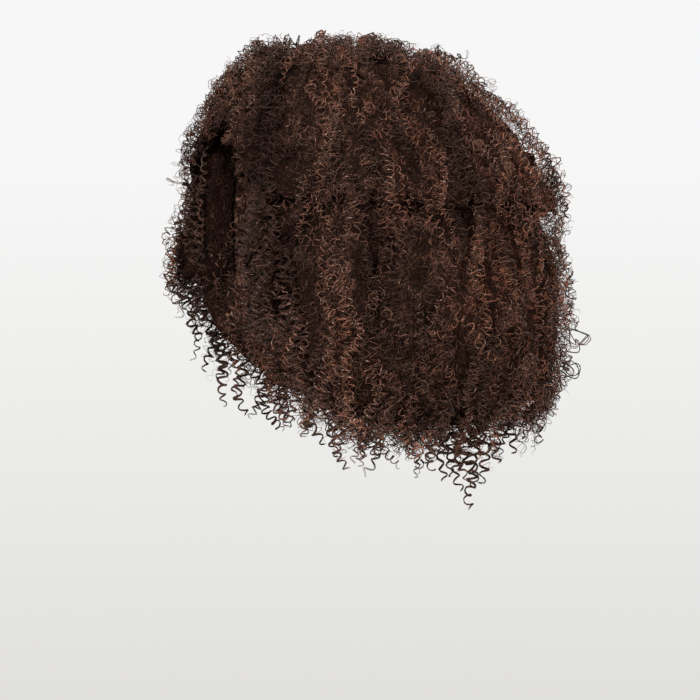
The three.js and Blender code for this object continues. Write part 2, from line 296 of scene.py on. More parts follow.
def nearestLock(bearing):
    turned = np.mod(np.asarray(bearing, float)[..., None] - lockCentres + 180, 360) - 180
    number = np.argmin(np.abs(turned), -1)
    return number, np.take_along_axis(turned, number[..., None], -1)[..., 0]


def lockRise(bearing, along):
    width = np.maximum(onForm(bearing, along, "width"), 0.0004)
    swayed = sway(bearing, along) / width * smooth(along, 0.01, 0.05)
    aside = nearestLock(bearing - swayed)[1] / (locks["spacing"] / 2)
    return locks["rise"] * 0.5 * (np.cos(np.pi * np.clip(aside, -1, 1)) - 1) * smooth(along, 0.01, 0.06)


def fallIn(bearing, along):
    return partingDepth(bearing, along) + layerSink(bearing, along) - lockRise(bearing, along)


# A strand along a path, which is its middle line and the directions outwards, and how it curls
def curled(rng, path, curl):
    line, outward = path
    length = np.concatenate([[0], np.cumsum(np.linalg.norm(np.diff(line, axis=0), axis=1))])
    turns = length[-1] / curl["pitch"]
    count = max(6, int(turns * curl["points"] * np.sqrt(curl["radius"] / 0.003)))
    at = np.linspace(0, length[-1], count)
    t = at / length[-1]
    centre = np.stack([np.interp(at, length, line[:, k]) for k in range(3)], -1)
    out = np.stack([np.interp(at, length, outward[:, k]) for k in range(3)], -1)
    along = np.gradient(centre, axis=0)
    along /= np.linalg.norm(along, axis=1, keepdims=True) + 1e-12
    out -= along * np.sum(out * along, 1, keepdims=True)
    out /= np.linalg.norm(out, axis=1, keepdims=True) + 1e-12
    side = np.cross(along, out)
    drift = rng.uniform(0.5, 1.5) * np.sin(t * rng.uniform(3, 9) + rng.uniform(0, 6.3))
    angle = curl["hand"] * 2 * np.pi * turns * t + curl["phase"] + drift
    swell = 1 + curl["loose"] * np.sin(t * turns * rng.uniform(1.1, 2.6) + rng.uniform(0, 6.3))
    radius = curl["radius"] * swell * (0.5 + 0.5 * smooth(t, 0, 0.15)) * (1 - curl["close"] * smooth(t, 0.6, 1))
    radius = radius[:, None]
    angle = angle[:, None]
    slip = curl["radius"] * curl["loose"] * np.sin(angle * 0.53 + rng.uniform(0, 6.3))
    points = centre + radius * (curl["flat"] * np.cos(angle) * out + np.sin(angle) * side) + along * slip
    wire = curl["wire"] * (0.55 + 0.45 * smooth(t, 0, 0.1)) * (1 - 0.65 * smooth(t, 0.75, 1))
    return {"points": points, "axis": along, "out": out, "wire": wire, "t": t, "tone": curl["tone"]}


# Strands as three-sided closed tubes in one mesh
def tubeMesh(name, strands):
    points, faces, corners, tones, ends, base = [], [], [], [], [], 0
    angles = np.array([0, 2 * np.pi / 3, 4 * np.pi / 3])
    ring = np.arange(3)
    for strand in strands:
        line = strand["points"]
        count = len(line)
        forward = np.gradient(line, axis=0)
        forward /= np.linalg.norm(forward, axis=1, keepdims=True) + 1e-12
        first = np.cross(forward, strand["axis"] + 0.35 * strand["out"])
        first /= np.linalg.norm(first, axis=1, keepdims=True) + 1e-12
        second = np.cross(forward, first)
        spread = np.cos(angles)[None, :, None] * first[:, None] + np.sin(angles)[None, :, None] * second[:, None]
        tube = line[:, None] + strand["wire"][:, None, None] * spread
        points.append(tube.reshape(-1, 3))
        near = base + np.arange(count - 1)[:, None] * 3
        a, b = near + ring, near + (ring + 1) % 3
        faces.append(np.stack([a, b, b + 3, a + 3], -1).reshape(-1, 4))
        last = base + 3 * (count - 1)
        corners.append([[base + 2, base + 1, base], [last, last + 1, last + 2]])
        tones.append(np.full(3 * count, strand["tone"]))
        ends.append(np.repeat(strand["t"], 3))
        base += 3 * count
    quads = np.concatenate(faces)
    tris = np.concatenate(corners)
    loops = np.concatenate([quads.ravel(), tris.ravel()])
    starts = np.concatenate([np.arange(len(quads)) * 4, 4 * len(quads) + np.arange(len(tris)) * 3])
    mesh = bpy.data.meshes.new(name)
    mesh.vertices.add(base)
    mesh.vertices.foreach_set("co", np.concatenate(points).astype(np.float32).ravel())
    mesh.loops.add(len(loops))
    mesh.loops.foreach_set("vertex_index", loops.astype(np.int32))
    mesh.polygons.add(len(starts))
    mesh.polygons.foreach_set("loop_start", starts.astype(np.int32))
    mesh.polygons.foreach_set("use_smooth", np.ones(len(starts), bool))
    mesh.update(calc_edges=True)
    for key, values in (("tone", tones), ("tip", ends)):
        attribute = mesh.attributes.new(key, "FLOAT", "POINT")
        attribute.data.foreach_set("value", np.concatenate(values).astype(np.float32))
    return mesh, 2 * len(quads) + len(tris)


def addPiece(name, mesh, material):
    piece = bpy.data.objects.new(name, mesh)
    bpy.context.scene.collection.objects.link(piece)
    mesh.materials.append(material)
    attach(piece, "root")
    return piece


# Materials
def addNode(tree, kind, inputs=None, **settings):
    node = tree.nodes.new(kind)
    for key, value in settings.items():
        setattr(node, key, value)
    for key, value in (inputs or {}).items():
        if isinstance(value, bpy.types.NodeSocket):
            tree.links.new(value, node.inputs[key])
        else:
            node.inputs[key].default_value = value
    return node


def calculate(tree, operation, first, second=0.0, clamp=False):
    return addNode(tree, "ShaderNodeMath", {0: first, 1: second}, operation=operation, use_clamp=clamp).outputs[0]


def remap(tree, value, low, high, toLow=0.0, toHigh=1.0):
    inputs = {"Value": value, "From Min": low, "From Max": high, "To Min": toLow, "To Max": toHigh}
    return addNode(tree, "ShaderNodeMapRange", inputs).outputs["Result"]


def mixColours(tree, factor, first, second):
    node = tree.nodes.new("ShaderNodeMix")
    node.data_type = "RGBA"
    sockets = [node.inputs["Factor"]] + [socket for socket in node.inputs if socket.type == "RGBA"]
    for socket, value in zip(sockets, (factor, first, second)):
        if isinstance(value, bpy.types.NodeSocket):
            tree.links.new(value, socket)
        else:
            socket.default_value = value
    return next(socket for socket in node.outputs if socket.type == "RGBA")


def newMaterial(name, colour, roughness, specular):
    material = bpy.data.materials.new(name)
    material.use_nodes = True
    material.diffuse_color = colour
    tree = material.node_tree
    shader = next(node for node in tree.nodes if node.type == "BSDF_PRINCIPLED")
    shader.inputs["Base Color"].default_value = colour
    shader.inputs["Roughness"].default_value = roughness
    shader.inputs["Specular IOR Level"].default_value = specular
    return material, tree, shader


def newGroup(name, inputs, output):
    group = bpy.data.node_groups.new(name, "ShaderNodeTree")
    for key, value in inputs.items():
        group.interface.new_socket(key, in_out="INPUT", socket_type="NodeSocketFloat").default_value = value
    group.interface.new_socket(output, in_out="OUTPUT", socket_type="NodeSocketFloat")
    given = group.nodes.new("NodeGroupInput")
    made = group.nodes.new("NodeGroupOutput")
    where = group.nodes.new("ShaderNodeTexCoord")
    return group, given, made, where.outputs["Object"]


# Warmth: slow drifts of red over the whole wig, more of it behind, which curls and backing share
def makeWarmth():
    group, given, made, where = newGroup("warmth", {"Scale": 13.0, "Reach": 0.5}, "Mask")
    patch = addNode(group, "ShaderNodeTexNoise", {"Vector": where, "Scale": given.outputs["Scale"], "Detail": 3.0})
    behind = remap(group, addNode(group, "ShaderNodeSeparateXYZ", {0: where}).outputs["Y"], -0.05, 0.2, -0.16, 0.32)
    raised = calculate(group, "ADD", patch.outputs["Fac"], behind)
    mask = remap(group, raised, 0.38, 0.68, 0.0, given.outputs["Reach"])
    group.links.new(mask, made.inputs["Mask"])
    return group


# Rings: thin loops at one scale, the pattern of curls that lie too deep to be modelled
def makeRings():
    group, given, made, where = newGroup("curlRings", {"Scale": 150.0, "Width": 0.1, "Shift": 0.0}, "Mask")
    wander = addNode(group, "ShaderNodeTexNoise", {"Vector": where, "Scale": 150.0, "Detail": 2.0})
    strayed = addNode(group, "ShaderNodeVectorMath", {0: wander.outputs["Color"], "Scale": 0.0045}, operation="SCALE")
    moved = addNode(group, "ShaderNodeVectorMath", {0: where, 1: strayed.outputs[0]}, operation="ADD")
    shifted = addNode(group, "ShaderNodeVectorMath", {0: moved.outputs[0], 1: given.outputs["Shift"]}, operation="ADD")
    cells = addNode(group, "ShaderNodeTexVoronoi", {"Vector": shifted.outputs[0], "Scale": given.outputs["Scale"]})
    size = remap(group, cells.outputs["Color"], 0.2, 0.8, 0.30, 0.62)
    off = calculate(group, "ABSOLUTE", calculate(group, "SUBTRACT", cells.outputs["Distance"], size))
    group.links.new(remap(group, off, 0.0, given.outputs["Width"], 1.0, 0.0), made.inputs["Mask"])
    return group


warmth = makeWarmth()
rings = makeRings()

curlLook = {
    "dark": (0.0160, 0.0087, 0.0068, 1),
    "brown": (0.105, 0.0530, 0.0380, 1),
    "warm": (0.232, 0.0790, 0.0430, 1),
    "glint": (0.44, 0.320, 0.250, 1),
    "roughness": 0.30,
    "specular": 0.08,
    "shine": (1.0, 0.66, 0.5, 1),
    "patch": 260.0,
}


def makeCurlMaterial(name, look, lift):
    material, tree, shader = newMaterial(name, look["brown"], look["roughness"], look["specular"])
    tone = addNode(tree, "ShaderNodeAttribute", attribute_name="tone").outputs["Fac"]
    tip = addNode(tree, "ShaderNodeAttribute", attribute_name="tip").outputs["Fac"]
    where = addNode(tree, "ShaderNodeTexCoord").outputs["Object"]
    patch = addNode(tree, "ShaderNodeTexNoise", {"Vector": where, "Scale": look["patch"], "Detail": 3.0}).outputs["Fac"]
    shade = calculate(tree, "MULTIPLY", tone, remap(tree, patch, 0.34, 0.62, 0.15, 1.35), clamp=True)
    drift = addNode(tree, "ShaderNodeGroup", {"Scale": 13.0, "Reach": 0.5}, node_tree=warmth).outputs["Mask"]
    # painted backlight: lift paints the tips redder, for light shining through the thin hair ends
    reach = calculate(tree, "ADD", calculate(tree, "MULTIPLY", tip, lift), drift)
    warmed = mixColours(tree, calculate(tree, "MULTIPLY", reach, shade, clamp=True), look["brown"], look["warm"])
    body = mixColours(tree, shade, look["dark"], warmed)
    # painted glints: light specks on the lighter strands, mixed into the base colour, stand in for highlights
    inputs = {"Vector": where, "Scale": 2.1 * look["patch"], "Detail": 1.0}
    speck = remap(tree, addNode(tree, "ShaderNodeTexNoise", inputs).outputs["Fac"], 0.60, 0.72)
    caught = calculate(tree, "MULTIPLY", speck, calculate(tree, "MULTIPLY", tone, 0.75), clamp=True)
    tree.links.new(mixColours(tree, caught, body, look["glint"]), shader.inputs["Base Color"])
    gloss = remap(tree, patch, 0.3, 0.7, look["roughness"] - 0.1, look["roughness"] + 0.2)
    tree.links.new(gloss, shader.inputs["Roughness"])
    shader.inputs["Specular Tint"].default_value = look["shine"]
    return material


curlMaterial = makeCurlMaterial("curled_hair", curlLook, 0.5)
# painted backlight: the flyaways get a redder dark colour and redder tips, for light shining through the thin hairs
# along the outline
flyawayMaterial = makeCurlMaterial("flyaway_hair", {**curlLook, "dark": (0.027, 0.0125, 0.0092, 1)}, 0.8)

backingLook = {
    "dark": (0.0105, 0.0056, 0.0043, 1),
    "brown": (0.170, 0.0815, 0.0570, 1),
    "warm": (0.290, 0.1020, 0.0590, 1),
    "scales": (118.0, 172.0, 250.0),
    "width": 0.09,
}


def makeBackingMaterial():
    material, tree, shader = newMaterial("matted_hair", backingLook["dark"], 0.8, 0.0)
    height = 0.0
    for shift, scale in enumerate(backingLook["scales"]):
        inputs = {"Scale": scale, "Width": backingLook["width"], "Shift": 0.37 * shift}
        loops = addNode(tree, "ShaderNodeGroup", inputs, node_tree=rings).outputs["Mask"]
        height = calculate(tree, "MAXIMUM", height, calculate(tree, "MULTIPLY", loops, 1 - 0.15 * shift))
    where = addNode(tree, "ShaderNodeTexCoord").outputs["Object"]
    patch = addNode(tree, "ShaderNodeTexNoise", {"Vector": where, "Scale": 90.0, "Detail": 4.0}).outputs["Fac"]
    tone = addNode(tree, "ShaderNodeAttribute", attribute_name="tone").outputs["Fac"]
    patch = calculate(tree, "MULTIPLY", remap(tree, patch, 0.38, 0.64, 0.3, 1.0), tone)
    lit = calculate(tree, "MULTIPLY", height, patch, clamp=True)
    drift = addNode(tree, "ShaderNodeGroup", {"Scale": 13.0, "Reach": 0.6}, node_tree=warmth).outputs["Mask"]
    warmed = mixColours(tree, drift, backingLook["brown"], backingLook["warm"])
    tree.links.new(mixColours(tree, lit, backingLook["dark"], warmed), shader.inputs["Base Color"])
    bump = addNode(tree, "ShaderNodeBump", {"Height": height, "Distance": 0.0030, "Strength": 1.0})
    tree.links.new(bump.outputs["Normal"], shader.inputs["Normal"])
    return material


backingMaterial = makeBackingMaterial()

capLook = {
    "cloth": (0.016, 0.011, 0.009, 1),
    "thread": (0.070, 0.048, 0.038, 1),
    "mesh": 560.0,
    "track": 150.0,
}


def makeCapMaterial():
    material, tree, shader = newMaterial("stretch_net", capLook["cloth"], 0.85, 0.1)
    where = addNode(tree, "ShaderNodeTexCoord").outputs["Object"]
    inputs = {"Vector": where, "Scale": capLook["mesh"]}
    net = addNode(tree, "ShaderNodeTexVoronoi", inputs, feature="DISTANCE_TO_EDGE").outputs["Distance"]
    thread = remap(tree, net, 0.02, 0.2, 1.0, 0.0)
    inputs = {"Vector": where, "Scale": capLook["track"] / 6.283, "Distortion": 0.4, "Detail": 1.0}
    track = addNode(tree, "ShaderNodeTexWave", inputs, wave_type="BANDS", bands_direction="Z").outputs["Fac"]
    height = calculate(tree, "ADD", thread, calculate(tree, "MULTIPLY", remap(tree, track, 0.86, 1.0), 2.0))
    tint = calculate(tree, "MULTIPLY", thread, remap(tree, track, 0.8, 1.0, 0.75, 0.2), clamp=True)
    tree.links.new(mixColours(tree, tint, capLook["cloth"], capLook["thread"]), shader.inputs["Base Color"])
    bump = addNode(tree, "ShaderNodeBump", {"Height": height, "Distance": 0.0005, "Strength": 0.8})
    tree.links.new(bump.outputs["Normal"], shader.inputs["Normal"])
    return material


capMaterial = makeCapMaterial()
print("materials made")

# Sections: the bearings between which each section's hair grows, and its tier
sections = {
    "crown_left_hair": {"from": 0, "to": 107, "tier": "upper"},
    "crown_right_hair": {"from": 253, "to": 360, "tier": "upper"},
    "crown_back_hair": {"from": 107, "to": 253, "tier": "upper"},
    "left_front_lock": {"from": 44, "to": 55, "tier": "lower", "edges": (41, 56)},
    "left_side_hair": {"from": 59, "to": 90, "tier": "lower", "edges": (56, 90)},
    "left_rear_hair": {"from": 90, "to": 135, "tier": "lower"},
    "left_nape_hair": {"from": 135, "to": 180, "tier": "lower"},
    "right_front_lock": {"from": 304, "to": 323, "tier": "lower"},
    "right_side_hair": {"from": 270, "to": 304, "tier": "lower"},
    "right_rear_hair": {"from": 225, "to": 270, "tier": "lower"},
    "right_nape_hair": {"from": 180, "to": 225, "tier": "lower"},
}
for section in sections.values():
    section.setdefault("edges", (section["from"], section["to"]))

# Backing: each section's matted hair, its solid made round and sunk beneath the curls
backing = {
    "voxel": 0.006,
    "smoothing": 6,
    "sink": 0.0070,
    "rise": 0.008,
    "lump": 0.003,
    "lumpSize": 0.014,
    "swell": 0.0022,
    "face": 43,
    "turnBack": 0.7,
}


def formTree():
    tree = kdtree.KDTree(form["points"].shape[0] * ((form["count"] + 1) // 2))
    for row in range(form["points"].shape[0]):
        for col in range(0, form["count"], 2):
            tree.insert(form["points"][row, col], row * form["count"] + col)
    tree.balance()
    return tree


nearForm = formTree()


def makeBacking(node):
    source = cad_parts[node]
    mesh = source.data.copy()
    mesh.materials.clear()
    work = bmesh.new()
    work.from_mesh(mesh)
    bmesh.ops.remove_doubles(work, verts=work.verts, dist=1e-6)
    if sections[node]["tier"] == "lower":
        for vertex in work.verts:  # the curls themselves hang below the hem
            bearing = np.degrees(np.arctan2(vertex.co.x, -vertex.co.y)) % 360
            vertex.co.z = max(vertex.co.z, backing["rise"] + float(cornerLift(bearing) - hemDepth(bearing)))
            if bearing < backing["face"]:
                turn = Matrix.Rotation(np.radians(backing["turnBack"] * (backing["face"] - bearing)), 3, "Z")
                vertex.co = turn @ vertex.co
    work.to_mesh(mesh)
    work.free()
    piece = bpy.data.objects.new(node.replace("_hair", "") + "_backing", mesh)
    bpy.context.scene.collection.objects.link(piece)
    bpy.context.view_layer.objects.active = piece
    piece.select_set(True)
    remesh = piece.modifiers.new("remesh", "REMESH")
    remesh.mode = "VOXEL"
    remesh.voxel_size = backing["voxel"]
    soften = piece.modifiers.new("soften", "SMOOTH")
    soften.factor = 0.5
    soften.iterations = backing["smoothing"]
    bpy.ops.object.modifier_apply(modifier="remesh")
    bpy.ops.object.modifier_apply(modifier="soften")
    piece.select_set(False)
    mesh = piece.data
    count = len(mesh.vertices)
    points = np.zeros(count * 3)
    facing = np.zeros(count * 3)
    mesh.vertices.foreach_get("co", points)
    mesh.vertices.foreach_get("normal", facing)
    points, facing = points.reshape(-1, 3), facing.reshape(-1, 3)
    found = np.array([nearForm.find(Vector(p))[1] for p in points])
    row, col = found // form["count"], found % form["count"]
    outward = form["normals"][row, col]
    below = np.sum((form["points"][row, col] - points) * outward, 1)
    outer = (1 - smooth(below, 0.012, 0.024)) * smooth(np.sum(facing * outward, 1), 0.1, 0.5)
    bearings, lengths = row * form["turn"], col * form["step"]
    sunk = backing["sink"] + fallIn(bearings, lengths)
    lumps = np.array([noise.noise(Vector(p) / backing["lumpSize"]) for p in points])
    points -= outward * (outer * sunk)[:, None]
    section = sections[node]
    apart = np.minimum(bearings - section["edges"][0], section["edges"][1] - bearings)
    border = 1 - smooth(apart * onForm(bearings, lengths, "width"), 0.002, 0.011)
    level = 1 - smooth(np.abs(points[:, 2] + tierDepth(bearings)), 0.003, 0.016)
    outside = smooth(np.sum(facing * outward, 1), -0.5, -0.1)
    swelled = backing["swell"] * (1 - outer + 1.3 * np.maximum(border, 2 * level)) * outside
    points += facing * (backing["lump"] * lumps * (0.3 + 0.7 * outer) + swelled)[:, None]
    mesh.vertices.foreach_set("co", points.astype(np.float32).ravel())
    mesh.polygons.foreach_set("use_smooth", np.ones(len(mesh.polygons), bool))
    mesh.update()
    shades = mesh.attributes.new("tone", "FLOAT", "POINT")
    tones = streakShade(bearings, form["points"][row, col, 2]) * lockShades[nearestLock(bearings)[0]]
    shades.data.foreach_set("value", tones.astype(np.float32))
    mesh.materials.clear()
    mesh.materials.append(backingMaterial)
    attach(piece, "root")
    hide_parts(node)
    return 2 * len(mesh.polygons)


total = 0
for node in sections:
    total += makeBacking(node)
print("backing made:", total, "triangles")

# Curls: the corkscrews that lie over a section from its roots to its tips
curls = {
    "perSquareMetre": 2560,
    "length": (0.045, 0.100),
    "radius": (0.0021, 0.0042),
    "pitch": (0.0050, 0.0088),
    "wire": (0.00024, 0.00050),
    "points": 5.5,
    "lean": 0.009,
    "under": -0.0085,
    "over": 0.0030,
    "lift": (-0.001, 0.005),
    "pastHem": (-0.004, 0.022),
    "pastTier": (0.0, 0.034),
    "shortest": 0.016,
}


def randomCurl(rng, spec, **changes):
    curl = {
        "radius": rng.uniform(*spec["radius"]),
        "pitch": rng.uniform(*spec["pitch"]),
        "wire": rng.uniform(*spec["wire"]),
        "points": spec["points"],
        "hand": rng.choice([-1, 1]),
        "phase": rng.uniform(0, 6.3),
        "loose": rng.uniform(0.08, 0.3),
        "close": rng.uniform(0.0, 0.5),
        "flat": rng.uniform(0.6, 1.0),
        "tone": rng.uniform(0, 1) ** 1.2,
    }
    curl.update(changes)
    return curl


def lyingLine(bearing, start, length, heading, low, high, lift):
    t = np.linspace(0, 1, 28)
    along = np.maximum(start + length * t * np.cos(heading), 0.001)
    width = np.maximum(onForm(np.full(28, bearing), along, "width"), 0.0004)
    aside = sway(bearing, along) + length * t * np.sin(heading)
    turned = bearing + aside / width * smooth(along, 0.01, 0.05)
    offset = low + (high - low) * smooth(t, 0, 0.4) + lift * smooth(t, 0.7, 1)
    offset = offset - fallIn(turned, along)
    outward = onForm(turned, along, "normals")
    return onForm(turned, along, "points") + outward * offset[:, None], outward


# Strands wound together into one corkscrew
def bundle(rng, path, spec, **changes):
    seed = int(rng.integers(1 << 30))
    shared = randomCurl(rng, spec, **changes)
    made = []
    for number in range(spec["strands"]):
        own = {"radius": shared["radius"] * rng.uniform(0.86, 1.1), "phase": shared["phase"] + spec["apart"] * number}
        own["tone"] = shared["tone"] * rng.uniform(0.6, 1.2)
        made.append(curled(np.random.default_rng(seed), path, {**shared, **own}))
    return made


# A strand's bearing moved towards the middle of its lock, and the shade that it has there
def gathered(bearing, along):
    number, aside = nearestLock(bearing)
    moved = bearing - locks["gather"] * aside
    shade = lockShades[number] * streakShade(moved, onForm(moved, np.asarray(along), "points")[..., 2])
    return float(moved), float(shade)


# Places over a section's surface with the weight of each, more of them near the section's own borders
def surfacePlaces(section):
    upper = section["tier"] == "upper"
    bearings = np.arange(section["from"], section["to"], form["turn"]) + form["turn"] / 2
    places, weights = [], []
    for bearing in bearings:
        tier, hem = onEdge(bearing, "tiers"), onEdge(bearing, "hems")
        low, high = (0.0, tier) if upper else (tier - 0.012, hem)
        along = np.arange(low + 0.002, high, 0.004)
        width = onForm(np.full(len(along), bearing), along, "width")
        places.append(np.stack([np.full(len(along), bearing), along], -1))
        border = min(bearing - section["from"], section["to"] - bearing)
        near = np.maximum(np.exp(-((border * width / 0.0036) ** 2)), 0.8 * np.exp(-(((along - tier) / 0.009) ** 2)))
        weights.append(width * form["turn"] * 0.004 * (1 + 0.9 * near))
    return np.concatenate(places), np.concatenate(weights)


def pickedPlaces(rng, section, spec):
    places, weights = surfacePlaces(section)
    count = int(weights.sum() * spec["perSquareMetre"])
    return places[rng.choice(len(places), count, p=weights / weights.sum())]


def surfaceCurls(rng, section, spec):
    made = []
    for bearing, along in pickedPlaces(rng, section, spec):
        bearing = bearing + rng.uniform(-1.3, 1.3)
        along = along + rng.uniform(-0.002, 0.002)
        length = rng.uniform(*spec["length"])
        start = max(0.001, along - 0.5 * length)
        hem = onEdge(bearing, "hems") - cornerLift(bearing)
        length = min(length, hem + rng.uniform(*spec["pastHem"]) - start)
        if section["tier"] == "upper":
            length = min(length, onEdge(bearing, "tiers") + rng.uniform(*spec["pastTier"]) - start)
        if length < spec["shortest"]:
            continue
        layer = rng.beta(2.2, 1.3)
        high = spec["under"] + (spec["over"] - spec["under"]) * layer
        lift = rng.uniform(*spec["lift"])
        heading = np.clip(rng.normal(0, spec["lean"] / length), -0.6, 0.6)
        bearing, shade = gathered(bearing, start + 0.5 * length)
        path = lyingLine(bearing, start, length, heading, high - 0.007, high, lift)
        tone = rng.uniform(0, 1.15) ** 1.5 * shade
        made.append(curled(rng, path, randomCurl(rng, spec, tone=tone)))
    return made


# Seam curls: the ones that cross the seams of the crown, each seam at its own bearing
seams = {
    "bearings": {"crown_left_hair": 0.0, "crown_right_hair": 253.0, "crown_back_hair": 107.0},
    "count": 18,
    "halfWidth": 0.0035,
    "start": (0.002, 0.070),
    "length": (0.03, 0.06),
    "lean": 0.25,
    "under": -0.005,
    "over": (-0.001, 0.004),
}


def seamCurls(rng, node, spec):
    made = []
    for _ in range(seams["count"]):
        start = rng.uniform(*seams["start"])
        reach = seams["halfWidth"] / max(float(onForm(seams["bearings"][node], start, "width")), 0.0004)
        bearing = seams["bearings"][node] + rng.uniform(-reach, reach)
        length = rng.uniform(*seams["length"])
        heading = rng.normal(0, seams["lean"])
        path = lyingLine(bearing, start, length, heading, seams["under"], rng.uniform(*seams["over"]), 0.0)
        made.append(curled(rng, path, randomCurl(rng, spec, tone=rng.uniform(0, 1) ** 1.5)))
    return made


# Hem: the curls that hang from the underside, from the outer form inwards to the neck
hem = {
    "perDegree": 1.5,
    "bundled": 0.14,
    "strands": 3,
    "apart": 0.4,
    "length": (0.026, 0.062),
    "below": (0.1, 0.55),
    "bundleDrop": (0.0, 0.020),
    "swing": 0.004,
    "radius": (0.0026, 0.0046),
    "pitch": (0.0058, 0.0090),
    "wire": (0.00030, 0.00054),
    "points": 5.8,
}


def hangingLine(rng, bearing, top, tip, depth, swing, wander=1.0):
    t = np.linspace(0, 1, 16)
    z = top + (tip - top) * t
    rim = -hemDepth(bearing)
    bends = []
    for _ in "xy":
        bend = wander * rng.normal(0, 0.0032)
        bends.append(bend * np.sin(rng.uniform(2, 7) * t + rng.uniform(0, 6.3)) * smooth(t, 0, 0.3))
    outer = hairRadius(bearing, np.maximum(z, rim))
    inner = headRadius(bearing, np.maximum(z, rim), 0.006)
    radius = outer + (inner - outer) * depth + swing * t * t + bends[0]
    radius = radius - np.minimum(fallIn(np.full(16, bearing), 0.2 - z), 0.012) * (1 - depth)
    aside = sway(bearing, top - z) + bends[1] + wander * rng.normal(0, 0.1) * (top - z)
    turned = bearing + np.degrees(aside / np.maximum(radius, 0.05))
    line = place(turned, radius, z)
    outward = place(turned, np.ones(16), np.zeros(16))
    return line, outward


def hemCurls(rng, section, spec):
    made = []
    for _ in range(int((section["to"] - section["from"]) * spec["perDegree"])):
        bearing = rng.uniform(section["from"], section["to"])
        rim = -float(hemDepth(bearing))
        depth = rng.uniform(0, 1) ** 1.5 * 0.96
        length = rng.uniform(*spec["length"]) * (1 - 0.4 * depth)
        tip = rim - length * rng.uniform(*spec["below"]) + 2 * cornerLift(bearing)
        if rng.uniform() < spec["bundled"]:
            tip -= rng.uniform(*spec["bundleDrop"])
            path = hangingLine(rng, bearing, tip + length, tip, depth, rng.normal(0, spec["swing"]))
            made += bundle(rng, path, spec, close=0.2, loose=0.08)
            continue
        path = hangingLine(rng, bearing, tip + length, tip, depth - 0.02, rng.normal(0, spec["swing"]))
        made.append(curled(rng, path, randomCurl(rng, spec)))
    return made


# Lining curls: long loose ones that hang on the inner side, and short ones that cover the hem's inner edge
inner = {
    "perDegree": 0.42,
    "top": (-0.17, -0.10),
    "tip": (-0.01, 0.04),
    "depth": (1.0, 1.06),
    "rimPerDegree": 0.7,
    "rimTop": (0.014, 0.045),
    "rimTip": (0.0, 0.022),
    "rimDepth": (0.8, 1.03),
    "radius": (0.0028, 0.0048),
    "pitch": (0.0085, 0.0130),
    "wire": (0.00034, 0.00056),
    "points": 5.4,
}


def innerCurls(rng, section, spec):
    made = []
    for _ in range(int((section["to"] - section["from"]) * spec["perDegree"])):
        bearing = rng.uniform(section["from"], section["to"])
        rim = -float(hemDepth(bearing))
        top = rng.uniform(*spec["top"])
        tip = rim + rng.uniform(*spec["tip"])
        path = hangingLine(rng, bearing, top, tip, rng.uniform(*spec["depth"]), 0)
        made.append(curled(rng, path, randomCurl(rng, spec)))
    for _ in range(int((section["to"] - section["from"]) * spec["rimPerDegree"])):
        bearing = rng.uniform(section["from"], section["to"])
        rim = -float(hemDepth(bearing))
        top = rim + rng.uniform(*spec["rimTop"])
        tip = rim - rng.uniform(*spec["rimTip"])
        path = hangingLine(rng, bearing, top, tip, rng.uniform(*spec["rimDepth"]), 0)
        made.append(curled(rng, path, randomCurl(rng, spec)))
    return made


# Face edge: the ringlets that frame the face, hanging at every depth between the outer form and the inside
faceEdge = {
    "left": 22,
    "right": 12,
    "loose": 26,
    "leftFrom": (46, 55),
    "rightFrom": (29, 52),
    "depth": (-0.03, 0.92),
    "top": (-0.03, 0.016),
    "tip": (-0.035, 0.020),
    "strands": 3,
    "apart": 0.45,
    "radius": (0.0030, 0.0050),
    "pitch": (0.0070, 0.0098),
    "wire": (0.00040, 0.00062),
    "points": 6.0,
}


def faceCurls(rng, left, spec):
    made = []
    bundled = spec["left"] if left else spec["right"]
    for number in range(bundled + spec["loose"]):
        bearing = rng.uniform(*spec["leftFrom"]) if left else 360 - rng.uniform(*spec["rightFrom"])
        depth = rng.uniform(*spec["depth"])
        top = -float(tierDepth(bearing)) + rng.uniform(*spec["top"])
        rim = -float(hemDepth(bearing))
        tip = rim - rng.uniform(*spec["tip"])
        if rng.uniform() < (0.35 if left else 0.8):
            top = rng.uniform(0.5, 0.8) * rim
        path = hangingLine(rng, bearing, top, tip, depth, rng.normal(-0.002, 0.005))
        if number < bundled:
            made += bundle(rng, path, spec, tone=rng.uniform(0, 0.45), close=0.1, loose=0.12)
        else:
            made.append(curled(rng, path, randomCurl(rng, spec, wire=rng.uniform(0.0003, 0.0005))))
    return made


# Ringlets: the long loose ones
# Each has its bearing, how far its tip hangs below the crown seat, and how far in it lies
ringlets = {
    "places": [
        (125, 0.352, 0.04), (121, 0.337, 0.1), (115, 0.330, 0.2), (109, 0.322, 0.1), (133, 0.334, 0.15),
        (130, 0.338, 0.2), (124, 0.328, 0.3), (139, 0.320, 0.1), (148, 0.290, 0.0), (155, 0.288, 0.1),
        (98, 0.308, 0.15), (84, 0.312, 0.1), (74, 0.310, 0.25), (67, 0.300, 0.1), (62, 0.282, 0.2),
        (170, 0.318, 0.2), (255, 0.312, 0.05), (262, 0.300, 0.0), (272, 0.287, 0.0), (278, 0.292, 0.1),
        (285, 0.284, 0.0), (289, 0.262, 0.1), (292, 0.254, 0.0), (300, 0.228, 0.0), (308, 0.202, 0.0),
        (315, 0.196, 0.05), (267, 0.302, 0.3), (244, 0.318, 0.1), (232, 0.326, 0.15), (220, 0.310, 0.1),
        (208, 0.326, 0.2), (195, 0.312, 0.1),
    ],
    "root": 0.03,
    "trim": 0.003,
    "wander": 0.35,
    "strands": 4,
    "apart": 0.24,
    "radius": (0.0040, 0.0050),
    "pitch": (0.0082, 0.0098),
    "wire": (0.00058, 0.00074),
    "points": 7.0,
}


